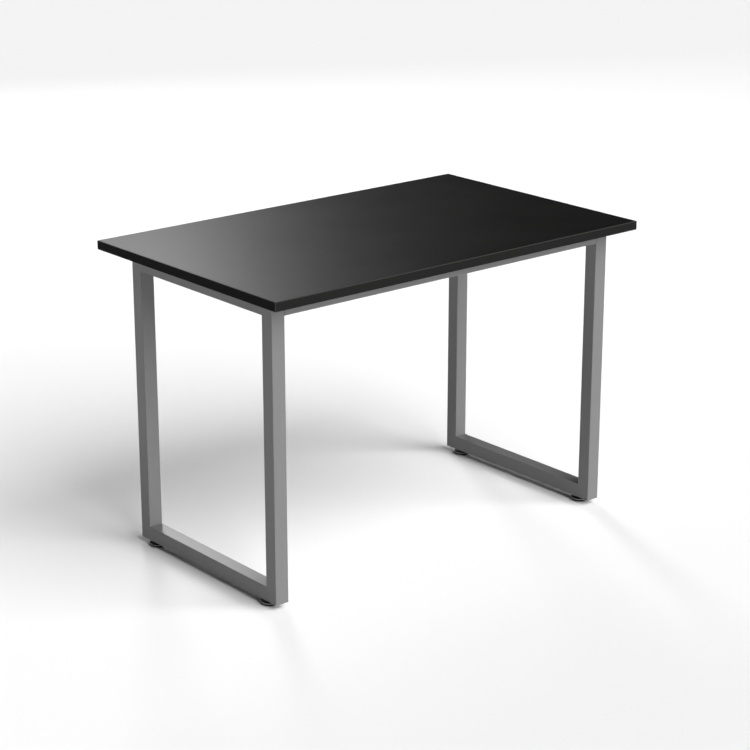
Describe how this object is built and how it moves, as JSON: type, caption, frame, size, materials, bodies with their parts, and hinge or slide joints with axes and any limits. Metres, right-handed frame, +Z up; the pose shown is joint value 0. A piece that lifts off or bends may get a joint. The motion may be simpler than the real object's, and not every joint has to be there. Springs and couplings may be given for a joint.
{
  "type": "computer desk",
  "caption": "Rectangular desk: black laminated top with rounded edge bands on two closed end frames of silver square tube, joined by rails, on levelling feet.",
  "frame": {"origin": "on the floor, under the middle of the worktop's outline", "axes": "+X along the desk's length to the right, +Y from the front edge to the rear edge, +Z up"},
  "size_m": [1.115, 0.69, 0.75],
  "materials": {
    "black_laminate": "satin",
    "black_backing": "matt",
    "black_edging": "satin",
    "chipboard": "raw",
    "silver_paint": "satin silver powder coat",
    "zinc_steel": "zinc plated",
    "foot_chrome": "polished",
    "foot_plastic": "matt"
  },
  "bodies": {
    "desk": {"board_core": "chipboard", "top_laminate": "black_laminate", "underside_laminate": "black_backing", "front_edge_band": "black_edging", "rear_edge_band": "black_edging", "left_edge_band": "black_edging", "right_edge_band": "black_edging", "board_inserts": "zinc_steel", "worktop_screws": "zinc_steel", "rail_screws": "zinc_steel", "spigot_nuts": "zinc_steel", "left_front_leg": "silver_paint", "left_rear_leg": "silver_paint", "left_top_bar": "silver_paint", "left_bottom_bar": "silver_paint", "left_front_spigot": "silver_paint", "left_rear_spigot": "silver_paint", "right_front_leg": "silver_paint", "right_rear_leg": "silver_paint", "right_top_bar": "silver_paint", "right_bottom_bar": "silver_paint", "right_front_spigot": "silver_paint", "right_rear_spigot": "silver_paint", "front_rail": "silver_paint", "rear_rail": "silver_paint", "front_left_foot_insert": "zinc_steel", "front_right_foot_insert": "zinc_steel", "rear_left_foot_insert": "zinc_steel", "rear_right_foot_insert": "zinc_steel"},
    "front_left_foot": {"front_left_foot_cap": "foot_chrome", "front_left_foot_pad": "foot_plastic"},
    "front_left_stem": {"front_left_foot_stem": "zinc_steel"},
    "front_right_foot": {"front_right_foot_cap": "foot_chrome", "front_right_foot_pad": "foot_plastic"},
    "front_right_stem": {"front_right_foot_stem": "zinc_steel"},
    "rear_left_foot": {"rear_left_foot_cap": "foot_chrome", "rear_left_foot_pad": "foot_plastic"},
    "rear_left_stem": {"rear_left_foot_stem": "zinc_steel"},
    "rear_right_foot": {"rear_right_foot_cap": "foot_chrome", "rear_right_foot_pad": "foot_plastic"},
    "rear_right_stem": {"rear_right_foot_stem": "zinc_steel"}
  },
  "joints": [
    {"name": "front_left_foot_height", "type": "slide", "parent": "desk", "child": "front_left_foot", "axis": [0, 0, -1], "range_m": [0, 0.015]},
    {"name": "front_left_stem_turn", "type": "hinge", "parent": "front_left_foot", "child": "front_left_stem", "pos_m": [-0.5015, -0.2355, 0.012], "axis": [0, 0, -1], "range_deg": [0, 4320]},
    {"name": "front_right_foot_height", "type": "slide", "parent": "desk", "child": "front_right_foot", "axis": [0, 0, -1], "range_m": [0, 0.015]},
    {"name": "front_right_stem_turn", "type": "hinge", "parent": "front_right_foot", "child": "front_right_stem", "pos_m": [0.5015, -0.2355, 0.012], "axis": [0, 0, -1], "range_deg": [0, 4320]},
    {"name": "rear_left_foot_height", "type": "slide", "parent": "desk", "child": "rear_left_foot", "axis": [0, 0, -1], "range_m": [0, 0.015]},
    {"name": "rear_left_stem_turn", "type": "hinge", "parent": "rear_left_foot", "child": "rear_left_stem", "pos_m": [-0.5015, 0.2115, 0.012], "axis": [0, 0, -1], "range_deg": [0, 4320]},
    {"name": "rear_right_foot_height", "type": "slide", "parent": "desk", "child": "rear_right_foot", "axis": [0, 0, -1], "range_m": [0, 0.015]},
    {"name": "rear_right_stem_turn", "type": "hinge", "parent": "rear_right_foot", "child": "rear_right_stem", "pos_m": [0.5015, 0.2115, 0.012], "axis": [0, 0, -1], "range_deg": [0, 4320]}
  ],
  "couplings": [
    {"joint": "front_left_stem_turn", "follows": "front_left_foot_height", "rad_per_m": 5026.5},
    {"joint": "front_right_stem_turn", "follows": "front_right_foot_height", "rad_per_m": 5026.5},
    {"joint": "rear_left_stem_turn", "follows": "rear_left_foot_height", "rad_per_m": 5026.5},
    {"joint": "rear_right_stem_turn", "follows": "rear_right_foot_height", "rad_per_m": 5026.5}
  ]
}
